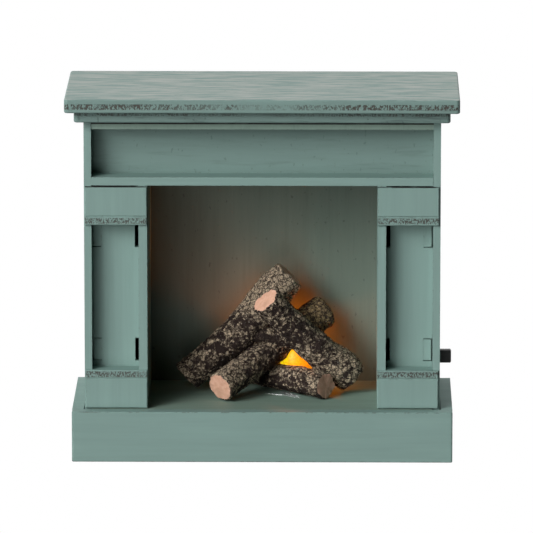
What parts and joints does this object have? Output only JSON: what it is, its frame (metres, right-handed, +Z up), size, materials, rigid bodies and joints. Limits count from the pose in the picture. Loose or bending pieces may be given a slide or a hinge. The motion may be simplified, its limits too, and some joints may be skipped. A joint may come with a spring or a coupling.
{
  "type": "miniature fireplace mantel",
  "caption": "Painted wooden dolls house fireplace mantel with a lit pile of logs in its firebox, a side switch and a battery bay in its plinth.",
  "frame": {"origin": "middle of the footprint, on the surface that the fireplace stands on", "axes": "+X to the right along the mantel shelf, +Y to the back, +Z up; the firebox faces -Y"},
  "size_m": [0.128, 0.0544, 0.1207],
  "materials": {
    "painted_wood": "chalky matt paint over wood, worn brown along the edges",
    "bare_wood": "unpainted sawn wood",
    "log_bark": "rough dark bark with pale speckles and pinkish cut ends",
    "amber_lump": "translucent amber resin",
    "lamp_lens": "clear yellow bulb",
    "clear_glue": "clear glue",
    "black_plastic": "matt",
    "wire_sleeve": "satin sleeve",
    "cell_sleeve": "gloss wrap",
    "bright_metal": "nickel plated"
  },
  "bodies": {
    "carcass": {"back_panel": "painted_wood", "base_board": "bare_wood", "battery_cell_left": "cell_sleeve", "battery_cell_right": "cell_sleeve", "battery_spring": "bright_metal", "battery_tray": "black_plastic", "cap_block_left": "painted_wood", "cap_block_right": "painted_wood", "cap_ledge_left": "painted_wood", "cap_ledge_right": "painted_wood", "cheek_board_left": "painted_wood", "cheek_board_right": "painted_wood", "column_liner_left": "painted_wood", "column_liner_right": "painted_wood", "contact_plate_minus": "bright_metal", "contact_plate_plus": "bright_metal", "ember_core": "amber_lump", "foot_block_left": "painted_wood", "foot_block_right": "painted_wood", "foot_ledge_left": "painted_wood", "foot_ledge_right": "painted_wood", "frieze_panel": "painted_wood", "glue_beads": "clear_glue", "glue_blocks": "bare_wood", "hearth_board": "painted_wood", "led_bulb": "lamp_lens", "led_legs": "bright_metal", "lintel_board": "painted_wood", "log_front_left": "log_bark", "log_front_right": "log_bark", "log_offcut": "log_bark", "log_rear_left": "log_bark", "log_rear_right": "log_bark", "log_upper_right": "log_bark", "mantel_shelf": "painted_wood", "pilaster_panel_left": "painted_wood", "pilaster_panel_right": "painted_wood", "plinth_front": "painted_wood", "plinth_left": "painted_wood", "plinth_right": "painted_wood", "shelf_moulding": "painted_wood", "side_board_left": "painted_wood", "side_board_right": "painted_wood", "switch_body": "black_plastic", "switch_bracket": "bright_metal", "switch_screws": "bright_metal", "switch_terminals": "bright_metal", "top_board": "painted_wood", "wire_cell_to_switch": "wire_sleeve", "wire_lamp_to_cell": "wire_sleeve", "wire_switch_to_lamp": "wire_sleeve"},
    "lever": {"switch_lever": "black_plastic"},
    "cover": {"battery_cover": "painted_wood", "cover_screws": "bright_metal"}
  },
  "joints": [
    {"name": "switch_slide", "type": "slide", "parent": "carcass", "child": "lever", "axis": [0, 0, -1], "range_m": [0, 0.0025]},
    {"name": "cover_slide", "type": "slide", "parent": "carcass", "child": "cover", "axis": [0, 1, 0], "range_m": [0, 0.02]}
  ]
}
